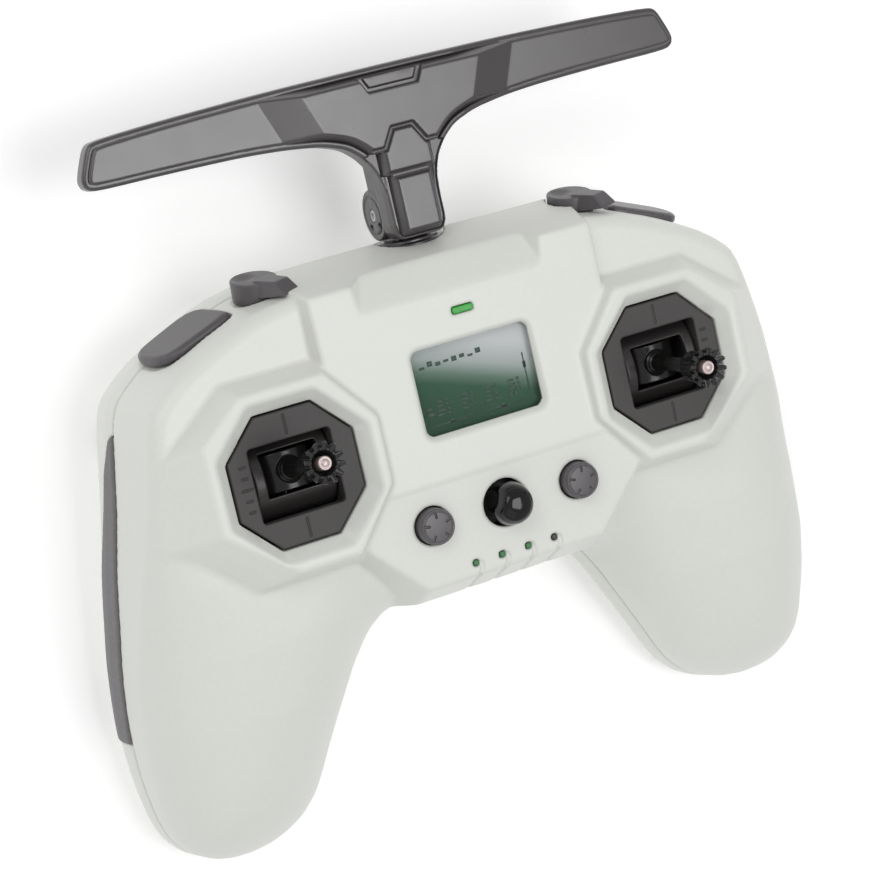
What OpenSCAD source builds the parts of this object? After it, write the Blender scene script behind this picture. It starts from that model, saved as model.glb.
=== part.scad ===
// Hand-held radio transmitter for flying models, with a folding T antenna.
// It lies on its flat back: +X to the user's right, +Y towards the antenna, +Z out of the face.
// The origin is under the middle of the whole object, on the surface it lies on.
// Lengths are in mm. Most modules draw in face coordinates: x = 0 on the centre line,
// y = 0 on the line through both stick centres, z = 0 on the stick plates.

/* [Case] */
// height of the stick plates above the flat back
face_z = 50.4; // [46:0.1:54]
// distance from the origin to the line through the stick centres, along +Y
gimbal_y = 4.5; // [0:0.1:6]
// half of the distance between the stick centres
gimbal_x = 48.5; // [46:0.5:50]
// thickness of the moulded walls
wall = 2.2; // [1.8:0.1:3]

/* [Sticks] */
// half width across the flats of the eight-sided stick plate
plate_half = 15.6; // [14:0.1:16]
// depth of both stick axes under the stick plate
pivot_depth = 12; // [11:0.5:13]
// outer radius of the rocking yoke
yoke_r = 11; // [10:0.1:11.2]
// radius of the inner drum that carries the stick
drum_r = 8.3; // [7:0.1:8.3]
// resting lean of the throttle stick towards the antenna, in degrees
throttle_lean = 8.5; // [0:0.5:15]
// height of the stick tip above the stick plate
stick_height = 21; // [18:0.5:24]

/* [Display and buttons] */
// visible width of the display
lcd_w = 29.3; // [26:0.1:31]
// visible height of the display
lcd_h = 19.1; // [17:0.1:21]
// radius of the two round menu buttons
button_r = 4.3; // [4:0.1:4.8]
// radius of the navigation knob
knob_r = 5.1; // [4.6:0.1:5.4]

/* [Top controls] */
// distance of each top lever from the centre line
lever_x = 41.8; // [40:0.1:43]
// resting turn of both top levers towards +X, in degrees
lever_turn = 25; // [0:1:30]

/* [Antenna] */
// half length of the antenna's bar
bar_half = 76.5; // [70:0.5:80]
// height of the fold axis above the line through the sticks
hinge_y = 49.8; // [49:0.1:52]
// depth of the fold axis and the swivel axis behind the face
hinge_z = -24.2; // [-26:0.1:-22]
// radius of the swivel collar
collar_r = 8.9; // [8:0.1:9.5]

/* [Hidden] */
$fn = 48;
eps = 0.02;
gap = 0.35;

// ---- outline of the case, seen from the front, and its depth ----

// upper edge of the case at each distance from the centre line
UPPER = [[0, 42.5], [30, 42.3], [42, 41.5], [50, 39.8], [60, 36], [69.5, 31.3], [75, 27.5],
         [79, 23.5], [80.8, 20], [82, 15], [85, 0], [88.1, -15], [90.4, -30],
         [92.5, -46], [93.2, -56]];
// lower edge, which drops into the two handles
LOWER = [[0, -41], [22, -41], [27, -42.5], [31, -46], [35.7, -54], [41.8, -66],
         [48.3, -78], [55.1, -88.5], [62, -92], [70, -93.3], [78, -92.2], [84.4, -88.5],
         [88.8, -82], [92, -72], [93.2, -56]];
// depth of the widest line of the case, where the two shells meet
MIDDLE = [[-94, -38.4], [-60, -34.5], [0, -25], [45, -24]];
// depth of the plain front surface away from the raised parts
FRONT = [[-94, -20.5], [-75, -17], [-55, -11.5], [-38, -8], [-20, -6], [18, -4.2], [45, -3.6]];
STATIONS = [0, 10, 20, 27, 31, 35, 40, 46, 52, 58, 65, 72, 78, 82, 85.5, 88.5, 91, 92.5, 93.1];
CASE_HALF = 93.1;
RING = 28;
SQUARE = 2 / 3.4;

function spow(v, p) = sign(v) * pow(abs(v), p);

// one point of the case section at distance x from the centre line, at angle a round the section;
// the front edge of the top is crisp and its wall leans back, the rest is rounded
function section_point(x, a, inset) =
    let (ax = min(abs(x) * CASE_HALF / (CASE_HALF - inset), CASE_HALF),
         top = lookup(ax, UPPER) - inset,
         bottom = lookup(ax, LOWER) + inset,
         half = max((top - bottom) / 2, 0.3),
         crisp = cos(a) > 0 && sin(a) > 0,
         rise = spow(sin(a), crisp ? 0.4 : SQUARE),
         y = (top + bottom) / 2 + half * spow(cos(a), crisp ? 0.1 : SQUARE)
             * (crisp ? 1 - 0.07 * rise : 1),
         mid = lookup(y, MIDDLE),
         up = (lookup(y, FRONT) - inset - mid) * pow(1 - pow(ax / 94.3, 7), 1 / 2.6),
         down = (mid + face_z + 0.7 - inset) * pow(1 - pow(ax / 93.8, 10), 1 / 3))
    [x, y, mid + (sin(a) > 0 ? up : down) * rise];

// the closed body of the case, drawn in by inset on every side
module case_body(inset = 0) {
    scale_x = (CASE_HALF - inset) / CASE_HALF;
    side = [for (x = STATIONS) x * scale_x];
    xs = concat([for (i = [len(side) - 1:-1:1]) -side[i]], side);
    n = len(xs);
    points = [for (x = xs) for (k = [0:RING - 1]) section_point(x, 360 * k / RING, inset)];
    skin = [for (i = [0:n - 2]) for (k = [0:RING - 1])
            let (a = i * RING + k, b = i * RING + (k + 1) % RING)
            each [[a, b + RING, b], [a, a + RING, b + RING]]];
    caps = [[for (k = [0:RING - 1]) k], [for (k = [RING - 1:-1:0]) (n - 1) * RING + k]];
    intersection() {
        polyhedron(points, concat(skin, caps), convexity = 8);
        // the flat back
        translate([-110, -110, -face_z + inset]) cube([220, 220, 80]);
    }
}

// everything in front of (or behind) the seam, which runs just behind the widest line
module shell_half(front) {
    seam = [for (y = [-98, -94, -60, 0, 50]) [y, lookup(y, MIDDLE) - 0.4]];
    far = front ? 12 : -60;
    rotate([90, 0, 90]) linear_extrude(220, center = true)
        polygon(concat(seam, [[50, far], [-98, far]]));
}

// ---- shared shapes ----

module at_face() translate([0, gimbal_y, face_z]) children();

// draws a left-hand shape on the chosen side: -1 left, 1 right
module on_side(side) {
    if (side < 0) children();
    else mirror([1, 0, 0]) children();
}

// eight-sided outline with flats of different length; outboard is the half width towards the grip
module octagon(half, qx, qy, outboard = 0) {
    left = max(outboard, half);
    polygon([[qx, half], [half, qy], [half, -qy], [qx, -half], [-qx, -half], [-left, -qy],
             [-left, qy], [-qx, half]]);
}

module thin(z) translate([0, 0, z]) linear_extrude(eps) children();

// solid raised collar round one stick, with its slope down to the case
module gimbal_hood(side) on_side(side) translate([-gimbal_x, 0, 0]) hull() {
    thin(3) octagon(21, 9.9, 8.2);
    thin(-5.5) octagon(24.4, 12.5, 9.8, 31);
    thin(-9) octagon(24.4, 12.5, 9.8, 31);
}

// funnel from the top of the collar down to the stick plate
module gimbal_funnel(side) on_side(side) translate([-gimbal_x, 0, 0]) {
    hull() {
        thin(3.1) octagon(18.8, 8.9, 7.4);
        thin(0) octagon(plate_half + 0.15, 7.1, 6.8);
    }
    translate([0, 0, -10]) linear_extrude(10.1) octagon(plate_half + 0.15, 7.1, 6.8);
}

// the raised panel with the display and buttons; it folds along a faint crease
module centre_panel() {
    hull() {
        thin(-0.02) polygon([[-32, 37.6], [-21.3, 31], [21.3, 31], [32, 37.6]]);
        thin(1.2) polygon([[-36, -11.5], [36, -11.5], [36, -11.6], [-36, -11.6]]);
        thin(-9) polygon([[-36, 40], [36, 40], [38, -12], [-38, -12]]);
    }
    hull() {
        thin(1.2) polygon([[-36, -11.5], [36, -11.5], [36, -11.6], [-36, -11.6]]);
        thin(-0.02) polygon([[-36.2, -22], [36.2, -22], [23.2, -35.4], [-23.2, -35.4]]);
        thin(-9) polygon([[-40, -12], [40, -12], [40, -23], [27, -40], [-27, -40], [-40, -23]]);
        thin(-20) polygon([[-30, -12], [30, -12], [25, -41], [-25, -41]]);
    }
}

// the sloped notch over the display, between the two ridges of the top deck
module deck_notch() hull() {
    thin(1) polygon([[-21.3, 31], [21.3, 31], [31, 60], [-31, 60]]);
    thin(-0.4) polygon([[-21.3, 31], [21.3, 31], [30, 60], [-30, 60]]);
    thin(-6.5) polygon([[-20, 41], [20, 41], [24, 60], [-24, 60]]);
}

// room for the display, its board and the buttons behind the centre panel
module panel_room() hull() {
    thin(-2.42) polygon([[-29, 27], [29, 27], [30, -18], [19, -30], [-19, -30], [-30, -18]]);
    thin(-9) polygon([[-33, 31], [33, 31], [33, -22], [24, -33], [-24, -33], [-33, -22]]);
    thin(-16) polygon([[-33, 33], [33, 33], [33, -26], [28, -33], [-28, -33], [-33, -26]]);
}

module rounded_box(size, r) translate([0, 0, -size.z / 2]) linear_extrude(size.z) hull()
    for (x = [-1, 1], y = [-1, 1])
        translate([x * (size.x / 2 - r), y * (size.y / 2 - r)]) circle(r);

// ---- case ----

module front_openings() {
    for (s = [-1, 1]) {
        gimbal_funnel(s);
        on_side(s) translate([-gimbal_x, 0, -18]) cube([33, 33, 18], center = true);
        translate([s * 19.2, -20.6, -4]) cylinder(r = button_r + gap, h = 8);
        paddle_recess(s);
        at_lever(s) translate([0, 0, -10]) cylinder(r = 2.9, h = 20);
    }
    for (p = SCREWS) translate([p.x, p.y, -60]) cylinder(r = 1.35, h = 38.5);
    hull() {
        translate([0, 9.3, -1]) rounded_box([lcd_w, lcd_h, 0.4], 1);
        translate([0, 9.3, 1.6]) rounded_box([lcd_w + 4, lcd_h + 4, 0.4], 2.4);
    }
    translate([0, 9.3, -2.4]) rounded_box([31.1, 21.1, 3], 1);
    translate([0, -20.6, -4]) cylinder(r = knob_r + 0.9, h = 8);
    translate([0, 26.2, 0]) rounded_box([5.6, 1.7, 8], 0.6);
    for (i = [-1.5:1.5]) translate([i * 7, -32.4, -2]) rounded_box([1.8, 1.6, 8], 0.4);
    antenna_hole();
    usb_hole();
}

module antenna_hole() translate([0, 25, hinge_z]) rotate([-90, 0, 0]) {
    cylinder(r = 9.1, h = 20);
    translate([0, 0, 15.4]) cylinder(r = collar_r + 0.5, h = 10);
}

module usb_hole() translate([0, -42, -33.5]) rotate([90, 0, 0]) rounded_box([9.4, 3.7, 24], 1.8);

module front_shell() at_face() difference() {
    union() {
        difference() {
            union() {
                intersection() {
                    case_body();
                    shell_half(true);
                }
                for (s = [-1, 1]) gimbal_hood(s);
                centre_panel();
            }
            deck_notch();
            case_body(wall);
            panel_room();
        }
        screw_posts(true);
    }
    front_openings();
}

// the posts that the case screws pass through
module screw_posts(front) intersection() {
    case_body(0.5);
    shell_half(front);
    for (p = SCREWS) translate([p.x, p.y, -60]) cylinder(r = 4.2, h = 50);
}

module grip_shape(side) on_side(side) {
    ys = [17, 8, -2, -12, -22, -32, -42, -50, -57];
    depth = [1.5, 4, 6, 7.5, 9, 10, 10.5, 10.5, 8];
    for (i = [0:len(ys) - 2]) hull() for (j = [i, i + 1])
        translate([-case_half(ys[j]) - 0.7, ys[j], lookup(ys[j], MIDDLE) - 1])
            rotate([0, -5, 0]) translate([0, 0, -depth[j]]) cube([2.2, eps, depth[j]]);
}

// half width of the case beside the grip
function case_half(y) = lookup(y, [for (i = [len(UPPER) - 1:-1:8]) [UPPER[i].y, UPPER[i].x]]);

SCREWS = [[-74, 12], [74, 12], [-64, -70], [64, -70], [-27, 34], [27, 34]];

module rear_shell() at_face() difference() {
    union() {
        difference() {
            intersection() {
                case_body();
                shell_half(false);
            }
            case_body(wall);
        }
        screw_posts(false);
    }
    for (p = SCREWS) translate([p.x, p.y, -60]) {
        cylinder(r = 3, h = 16);
        cylinder(r = 1.35, h = 50);
    }
    for (s = [-1, 1]) {
        grip_shape(s);
        paddle_recess(s);
    }
    antenna_hole();
    usb_hole();
    // sound holes of the speaker
    for (i = [-2:2]) translate([31 + i * 3, -20, -50]) rounded_box([1.2, 12, 10], 0.5);
}

module grip(side) at_face() difference() {
    grip_shape(side);
    // shallow traction grooves
    on_side(side) for (i = [0:5])
        translate([-case_half(-4 - i * 8) - 2.6, -4 - i * 8, -60]) cube([3, 0.6, 50]);
}

module case_screws() at_face() for (p = SCREWS) translate([p.x, p.y, -46]) {
    difference() {
        cylinder(r = 2.6, h = 2);
        translate([0, 0, -0.1]) cylinder(r = 1, h = 1.2, $fn = 6);
    }
    translate([0, 0, 2]) cylinder(r = 1.35, h = 22);
}

// ---- sticks ----

module gimbal_frame(side) at_face() on_side(side) translate([-gimbal_x, 0, 0]) difference() {
    union() {
        translate([0, 0, -2]) linear_extrude(2) octagon(plate_half, 7.1, 6.8);
        intersection() {
            translate([-12, -13, -25]) cube([24, 26, 23.5]);
            translate([0, 0, -26]) linear_extrude(26) octagon(plate_half - 0.2, 7.1, 6.8);
        }
    }
    translate([-10.15, -8.75, -3]) cube([20.3, 17.5, 4]);
    translate([-10.15, -11.5, -23.4]) cube([20.3, 23, 21.4]);
    // bearings of the yoke
    translate([0, 0, -pivot_depth]) rotate([0, 90, 0]) cylinder(r = 1.55, h = 30, center = true);
    // moulded centre marks and travel marks
    for (s = [-1, 1]) translate([0, s * 12.1, 0]) cube([0.25, 4.4, 0.3], center = true);
    for (i = [-2:2]) translate([-12, i * 2.6, 0]) cube([i == 0 ? 2.6 : 1.6, 0.25, 0.3], center = true);
}

module gimbal_sensors() at_face() for (s = [-1, 1]) on_side(s) translate([-gimbal_x, 0, 0]) {
    difference() {
        translate([-13.2, -4.5, -17]) cube([1.2, 9, 10]);
        translate([0, 0, -pivot_depth]) rotate([0, 90, 0]) cylinder(r = 1.9, h = 40, center = true);
    }
    translate([-5, -5, -26.2]) cube([10, 10, 1.2]);
}

// turns a stick assembly to its resting lean: the throttle stick stays where it was left
module at_pivot(side) at_face() translate([side * gimbal_x, 0, -pivot_depth])
    rotate([side < 0 ? -throttle_lean : 0, 0, 0]) children();

module yoke(side) at_pivot(side) {
    difference() {
        intersection() {
            rotate([0, 90, 0]) cylinder(r = yoke_r, h = 19.6, center = true, $fn = 72);
            translate([-12, -12, -4]) cube([24, 24, 20]);
        }
        rotate([0, 90, 0]) cylinder(r = 9.4, h = 17.4, center = true, $fn = 72);
        translate([-7.05, -5.15, 0]) cube([14.1, 10.3, 20]);
        rotate([90, 0, 0]) cylinder(r = 1.25, h = 30, center = true);
    }
    for (s = [-1, 1]) translate([s * 10.65, 0, 0]) rotate([0, 90, 0])
        cylinder(r = 1.5, h = 2.5, center = true);
}

module stick(side) at_pivot(side) {
    difference() {
        rotate([90, 0, 0]) cylinder(r = drum_r, h = 9.2, center = true, $fn = 72);
        translate([-12, -8, -15]) cube([24, 16, 12]);
    }
    rotate([90, 0, 0]) cylinder(r = 1.2, h = 21.4, center = true);
    translate([0, 0, 7]) cylinder(r1 = 3, r2 = 1.7, h = 5);
    translate([0, 0, 7]) cylinder(r = 1.7, h = pivot_depth + stick_height - 15.4);
}

// crowned thumb rest: a grooved barrel under a ring of flared points
module stick_head(side) at_pivot(side) translate([0, 0, pivot_depth + stick_height - 8.4]) difference() {
    rotate_extrude() polygon([[0, 0], [2.6, 0], [3.6, 1], [3.6, 4], [5.2, 8], [4.2, 7.6],
                              [2.6, 6], [1.95, 6], [1.95, 3.4], [0, 3.4]]);
    for (i = [0:11]) rotate([0, 0, i * 30]) translate([4.9, 0, 4]) rotate([0, 25, 0])
        cube([2.6, 0.9, 9], center = true);
}

module stick_tip(side) at_pivot(side) translate([0, 0, pivot_depth + stick_height - 5])
    cylinder(r = 1.9, h = 5);

// ---- display, lights and buttons ----

module lcd_window() at_face() translate([0, 9.3, -1.65]) rounded_box([31, 21, 1.5], 1);

module lcd_module() at_face() {
    translate([0, 9.3, -3.8]) rounded_box([37, 26, 2.6], 0.6);
    translate([-12, -8.5, -4.6]) cube([24, 6, 0.4]);
}

module power_light() at_face() translate([0, 26.2, -1.6]) rounded_box([5.4, 1.5, 4.2], 0.5);

module battery_lights() at_face() for (i = [-1.5:1.5])
    translate([i * 7, -32.4, -2.6]) rounded_box([1.6, 1.4, 4.2], 0.4);

module menu_button(side) at_face() translate([side * 19.2, -20.6, 0]) {
    translate([0, 0, -3.6]) cylinder(r = button_r + 0.9, h = 0.8);
    difference() {
        translate([0, 0, -2.9]) cylinder(r = button_r, h = 6.6);
        for (a = [0:72:359]) rotate([0, 0, a]) translate([2.6, -0.2, 3.3]) cube([1.2, 0.4, 1]);
    }
    translate([0, 0, -7.2]) cylinder(r = 1.6, h = 4.1);
}

module button_switches() at_face() for (s = [-1, 1]) translate([s * 19.2, -20.6, -9.6]) {
    translate([-3, -3, -1.4]) cube([6, 6, 2.8]);
}

module knob_socket() at_face() translate([0, -20.6, 0]) difference() {
    translate([-7.5, -7.5, -11]) cube([15, 15, 8.2]);
    translate([-6.1, -6.1, -9.8]) cube([12.2, 12.2, 8]);
}

module knob_carrier() at_face() translate([0, -20.6, 0]) difference() {
    union() {
        translate([-5.7, -5.7, -8.9]) cube([11.4, 11.4, 1]);
        for (s = [-1, 1]) translate([s * 5.2 - 0.5, -1.2, -8]) cube([1, 2.4, 3.6]);
    }
    translate([0, 0, -5.2]) rotate([0, 90, 0]) cylinder(r = 0.55, h = 30, center = true);
}

module knob_ring() at_face() translate([0, -20.6, -5.2]) {
    difference() {
        cylinder(r = 4.2, h = 1.6, center = true);
        cylinder(r = 3.2, h = 4, center = true);
        rotate([90, 0, 0]) cylinder(r = 0.55, h = 30, center = true);
    }
    for (s = [-1, 1]) translate([s * 4.9, 0, 0]) rotate([0, 90, 0])
        cylinder(r = 0.5, h = 1.7, center = true);
}

module knob_cap() at_face() translate([0, -20.6, 0]) {
    rotate_extrude() polygon([[0, -3.4], [4.4, -3.4], [4.9, -1.6], [knob_r, 0], [knob_r, 4.6],
                              [4.8, 5.8], [4, 6.9], [2.6, 7.5], [0, 7.8]]);
    translate([0, 0, -6.2]) cylinder(r = 1.5, h = 3);
    translate([0, 0, -5.2]) rotate([90, 0, 0]) cylinder(r = 0.5, h = 8.2, center = true);
}

// ---- shoulder paddles and top levers ----

// frame of one shoulder: its own x runs along the shoulder's slope, y points out of it
module at_shoulder(side) on_side(side) translate([-60.5, 34.5, -21.5]) rotate([0, 0, 21])
    rotate([9, 0, 0]) children();

// outline of a paddle, h thick, seen along its travel
module paddle_block(y, h, grow = 0) translate([0, y, 0]) rotate([-90, 0, 0]) linear_extrude(h)
    offset(delta = grow)
        polygon([[-11.2, 2.5], [-10.2, 5.6], [-7.6, 7.5], [8.2, 8.5], [11.2, -6.5], [9, -8.5],
                 [-6.5, -8], [-9.6, -4]]);

module paddle_recess(side) at_shoulder(side) {
    paddle_block(-1.3, 20, 0.4);
    translate([-4, -6, -3]) cube([8, 10, 6]);
}

module paddle(side) at_face() at_shoulder(side) {
    hull() {
        paddle_block(0, 1, 0);
        paddle_block(0.9, 0.8, -1.1);
    }
    translate([-2.5, -3.2, -1.5]) cube([5, 3.4, 3]);
}

module paddle_switches() at_face() for (s = [-1, 1]) at_shoulder(s)
    translate([-5, -10, -3]) cube([10, 5.3, 6]);

// frame of one top lever: its own z stands on the leaning top wall
module at_lever(side) translate([side * lever_x, 40.5, -18]) rotate([-80, 0, 0]) children();

module lever(side) at_face() at_lever(side) {
    translate([0, 0, 0.5]) cylinder(r = 5.6, h = 2.1);
    translate([0, 0, 2.6]) cylinder(r1 = 5.6, r2 = 4.4, h = 0.8);
    translate([0, 0, -8]) cylinder(r = 2.4, h = 8.6);
    // tapered finger tab
    rotate([0, 0, lever_turn]) hull() {
        translate([-3.4, -5, 0.5]) cube([6.8, 2, 2.7]);
        translate([-2.3, -11.6, 1.3]) cube([4.6, 0.5, 1.7]);
    }
}

module lever_switches() at_face() for (s = [-1, 1]) at_lever(s) translate([0, 0, -13]) difference() {
    translate([-5, -5, -3]) cube([10, 10, 7.2]);
    cylinder(r = 2.45, h = 9);
}

// ---- inside ----

module main_board() at_face() translate([0, 0, -12.6]) difference() {
    linear_extrude(1.6) polygon([[-33, 32], [-33, -23], [-25, -32], [25, -32], [33, -23], [33, 32]]);
    for (s = [-1, 1]) translate([s * 27, 34, -1]) cylinder(r = 5, h = 4);
}

module radio_module() at_face() {
    translate([-14, 6, -17.2]) cube([28, 20, 4.6]);
    translate([-3, 26, -15.6]) cube([6, 4, 3]);
}

module battery_pack() at_face() {
    for (s = [-1, 1]) translate([s * 9.6, -31.8, -35.4]) rotate([-90, 0, 0]) cylinder(r = 9.2, h = 62.4);
    translate([-8, 30.6, -42]) cube([16, 2, 6]);
}

module speaker() at_face() translate([31, -20, -47]) {
    cylinder(r = 8, h = 4);
    translate([0, 0, 4]) cylinder(r = 4.5, h = 1.6);
}

module vibration_motor() at_face() translate([76, -58, -34]) rotate([90, 0, 0]) {
    cylinder(r = 4, h = 9);
    translate([0, 0, 9]) cylinder(r = 1, h = 2);
    intersection() {
        translate([0, 0, 11]) cylinder(r = 3.8, h = 4);
        translate([-5, 0, 10]) cube([10, 5, 6]);
    }
}

module usb_port() at_face() translate([0, -36, -33.5]) rotate([90, 0, 0]) {
    difference() {
        rounded_box([8.9, 3.2, 7.4], 1.55);
        translate([0, 0, 1]) rounded_box([8.3, 2.6, 7.4], 1.28);
    }
    rounded_box([6.6, 0.7, 6.6], 0.3);
}

// ---- antenna ----

// outline of the bar and stem, drawn in by inset
module antenna_outline(inset = 0) offset(delta = -inset) {
    half = [[0, 84.4], [30, 84.2], [55, 83.5], [72, 82.6], [73.6, 81.4], [bar_half, 74.6],
            [76, 72.6], [74, 71.6], [56, 71.5], [39, 71.1], [29, 70.4], [20, 69.2],
            [14.2, 67.2], [11, 64.6], [8.6, 61.4], [7.4, 58.4], [6.7, 55], [6.7, 43.7]];
    polygon(concat(half, [for (i = [len(half) - 1:-1:1]) [-half[i].x, half[i].y]]));
}

module antenna_back() at_face() difference() {
    union() {
        translate([0, 0, -18.7]) linear_extrude(5.7) antenna_outline();
        // thick stem and the two ears of the fold hinge
        intersection() {
            translate([0, 0, hinge_z]) linear_extrude(9) antenna_outline();
            translate([-9, hinge_y, -30]) cube([18, 14, 20]);
        }
        for (s = [-1, 1]) translate([s * 5.3, hinge_y, hinge_z]) rotate([0, 90, 0])
            cylinder(r = 6.2, h = 2.8, center = true);
        for (s = [-1, 1]) translate([s * 5.3 - 1.4, 43.7, hinge_z]) cube([2.8, 12, 8]);
    }
    // slot for the collar's tongue
    translate([-3.9, 40, -40]) cube([7.8, 16.2, 22.4]);
    translate([0, hinge_y, hinge_z]) rotate([0, 90, 0]) cylinder(r = 1.5, h = 20, center = true);
    // room for the radiating element
    translate([-70, 74.4, -16.6]) cube([140, 5.4, 4]);
    translate([-2.5, 60, -16.6]) cube([5, 15, 4]);
    // two small keyed holes in each ear
    for (z = [-3, 2.4]) translate([0, hinge_y - 2.6, hinge_z + z]) rotate([0, 90, 0])
        difference() {
            cylinder(r = 0.7, h = 13.6, center = true);
            cylinder(r = 2, h = 12.4, center = true);
        }
}

module antenna_front() at_face() difference() {
    translate([0, 0, -13]) linear_extrude(2.6) antenna_outline(1.7);
    // top notch, and the slopes where the arms step back
    translate([0, 0, -11.4]) linear_extrude(3) polygon([[-9.3, 90], [-9.3, 84], [-6.4, 78.5],
                                                        [6.4, 78.5], [9.3, 84], [9.3, 90]]);
    for (s = [-1, 1]) on_side(s) hull() {
        translate([-33.7, 60, -11.4]) cube([eps, 30, 4]);
        translate([-100, 60, -11.4]) cube([eps, 30, 4]);
        translate([-23.8, 60, -10.4]) cube([eps, 30, 4]);
    }
    // groove over the stem
    translate([-10, 64.6, -11]) cube([20, 1, 3]);
    translate([-10, 58, -11]) cube([20, 1.2, 3]);
}

module antenna_element() at_face() {
    translate([-69, 75, -16.2]) cube([138, 4.2, 1]);
    translate([-1.5, 61, -16.2]) cube([3, 14, 1]);
}

module hinge_pin() at_face() translate([0, hinge_y, hinge_z]) rotate([0, 90, 0])
    cylinder(r = 1.5, h = 13.6, center = true);

module antenna_collar() at_face() difference() {
    union() {
        translate([0, 0, hinge_z]) rotate([-90, 0, 0]) {
            translate([0, 0, 40.7]) cylinder(r = collar_r, h = 2.2);
            translate([0, 0, 31.2]) cylinder(r = 5, h = 10);
            translate([0, 0, 31.2]) cylinder(r = 6.6, h = 1.5);
        }
        translate([0, hinge_y, hinge_z]) rotate([0, 90, 0]) cylinder(r = 5.4, h = 7.2, center = true);
        translate([-3.6, 42, hinge_z - 5]) cube([7.2, 7.8, 10]);
    }
    translate([0, hinge_y, hinge_z]) rotate([0, 90, 0]) cylinder(r = 1.55, h = 20, center = true);
    // passage for the antenna lead
    translate([0, 0, hinge_z]) rotate([-90, 0, 0]) cylinder(r = 1.6, h = 46);
}

module antenna_socket() at_face() translate([0, 0, hinge_z]) rotate([-90, 0, 0]) difference() {
    translate([0, 0, 33]) cylinder(r = 9.1, h = 7.3);
    cylinder(r = 5.05, h = 60);
}

// ---- everything, one named node each ----

shell_white = [0.87, 0.88, 0.85];
grey = [0.42, 0.4, 0.41];
dark = [0.2, 0.19, 0.19];
black = [0.06, 0.06, 0.06];
metal = [0.75, 0.75, 0.76];
green = [0.1, 0.55, 0.2];

color(shell_white) front_shell();
color(shell_white) rear_shell();
color(grey) grip(-1);  // grip_left
color(grey) grip(1);  // grip_right
color(dark) gimbal_frame(-1);  // gimbal_frame_left
color(dark) gimbal_frame(1);  // gimbal_frame_right
color(green) gimbal_sensors();
color(dark) yoke(-1);  // yoke_left
color(dark) yoke(1);  // yoke_right
color(black) stick(-1);  // stick_left
color(black) stick(1);  // stick_right
color(black) stick_head(-1);  // stick_head_left
color(black) stick_head(1);  // stick_head_right
color(metal) stick_tip(-1);  // stick_tip_left
color(metal) stick_tip(1);  // stick_tip_right
color([0.6, 0.7, 0.65, 0.4]) lcd_window();
color(green) lcd_module();
color(green) power_light();
color(green) battery_lights();
color(grey) menu_button(-1);  // menu_button_left
color(grey) menu_button(1);  // menu_button_right
color(dark) knob_socket();
color(dark) knob_carrier();
color(dark) knob_ring();
color(black) knob_cap();
color(grey) paddle(-1);  // paddle_left
color(grey) paddle(1);  // paddle_right
color(grey) lever(-1);  // lever_left
color(grey) lever(1);  // lever_right
color(dark) lever_switches();
color(dark) paddle_switches();
color(dark) button_switches();
color(green) main_board();
color(metal) radio_module();
color([0.15, 0.3, 0.6]) battery_pack();
color(dark) speaker();
color(metal) vibration_motor();
color(metal) usb_port();
color(metal) case_screws();
color(dark) antenna_socket();
color(grey) antenna_collar();
color(grey) antenna_back();
color(grey) antenna_front();
color(green) antenna_element();
color(metal) hinge_pin();
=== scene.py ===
"""Looks of a hand-held radio transmitter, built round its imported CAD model.

The moulded pieces are drawn as signed distance fields in face coordinates (mm): x = 0 on the centre
line, y = 0 on the line through both sticks, z = 0 on the stick plates. `solid()` turns a field into a
closed mesh in the row frame (m).
"""

import math

import bpy
import numpy as np
from mathutils import Matrix, Vector


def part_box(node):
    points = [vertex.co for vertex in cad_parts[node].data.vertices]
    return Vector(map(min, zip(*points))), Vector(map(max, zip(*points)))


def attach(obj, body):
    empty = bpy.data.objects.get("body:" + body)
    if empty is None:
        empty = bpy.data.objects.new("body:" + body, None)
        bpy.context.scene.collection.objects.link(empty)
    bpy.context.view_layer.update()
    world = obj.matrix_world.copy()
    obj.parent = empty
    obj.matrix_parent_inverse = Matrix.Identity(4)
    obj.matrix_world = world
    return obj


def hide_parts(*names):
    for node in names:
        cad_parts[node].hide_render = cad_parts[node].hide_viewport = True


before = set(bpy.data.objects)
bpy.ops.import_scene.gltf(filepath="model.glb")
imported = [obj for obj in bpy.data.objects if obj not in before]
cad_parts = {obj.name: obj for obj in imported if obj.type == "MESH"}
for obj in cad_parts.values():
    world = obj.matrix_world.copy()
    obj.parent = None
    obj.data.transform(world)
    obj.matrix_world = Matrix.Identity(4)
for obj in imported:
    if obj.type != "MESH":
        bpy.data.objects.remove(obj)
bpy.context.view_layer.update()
plate_lo, plate_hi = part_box("gimbal_frame_left")
FACE = np.array([0.0, (plate_lo.y + plate_hi.y) / 2, plate_hi.z]) * 1000
STICK_X = -(plate_lo.x + plate_hi.x) / 2 * 1000

# places on the face
WINDOW_Y = 9.3
POWER_Y = 26.2
KNOB_Y = -20.6
BUTTON_X = 19.2
LIGHTS_Y = -32.4
LIGHT_PITCH = 7
# z of the flat back and of the gimbal axes
BACK = -50.4
PIVOT = -12.0
# length of a stick's shaft, from the gimbal axes to the thumb rest
SHAFT = 24.6
# thickness of the case, how far its joint lies below the middle line, and the gap at the joint
WALL = 2.2
SEAM_DROP = 0.4
SEAM_GAP = 0.12
# y and z of the antenna's fold pin; its collar turns about an axis along y at the same depth
FOLD = (49.8, -24.2)


# ---------- distance field tools ----------

def smin(a, b, k):
    """Smooth union of two distances; k is the width of the blend."""
    return np.minimum(a, b) - np.maximum(k - np.abs(a - b), 0) ** 2 / (4 * k)


def smax(a, b, k):
    """Smooth overlap of two distances."""
    return -smin(-a, -b, k)


def smooth(t):
    """Rises from 0 to 1 with level ends."""
    t = np.clip(t, 0, 1)
    return t * t * (3 - 2 * t)


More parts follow.
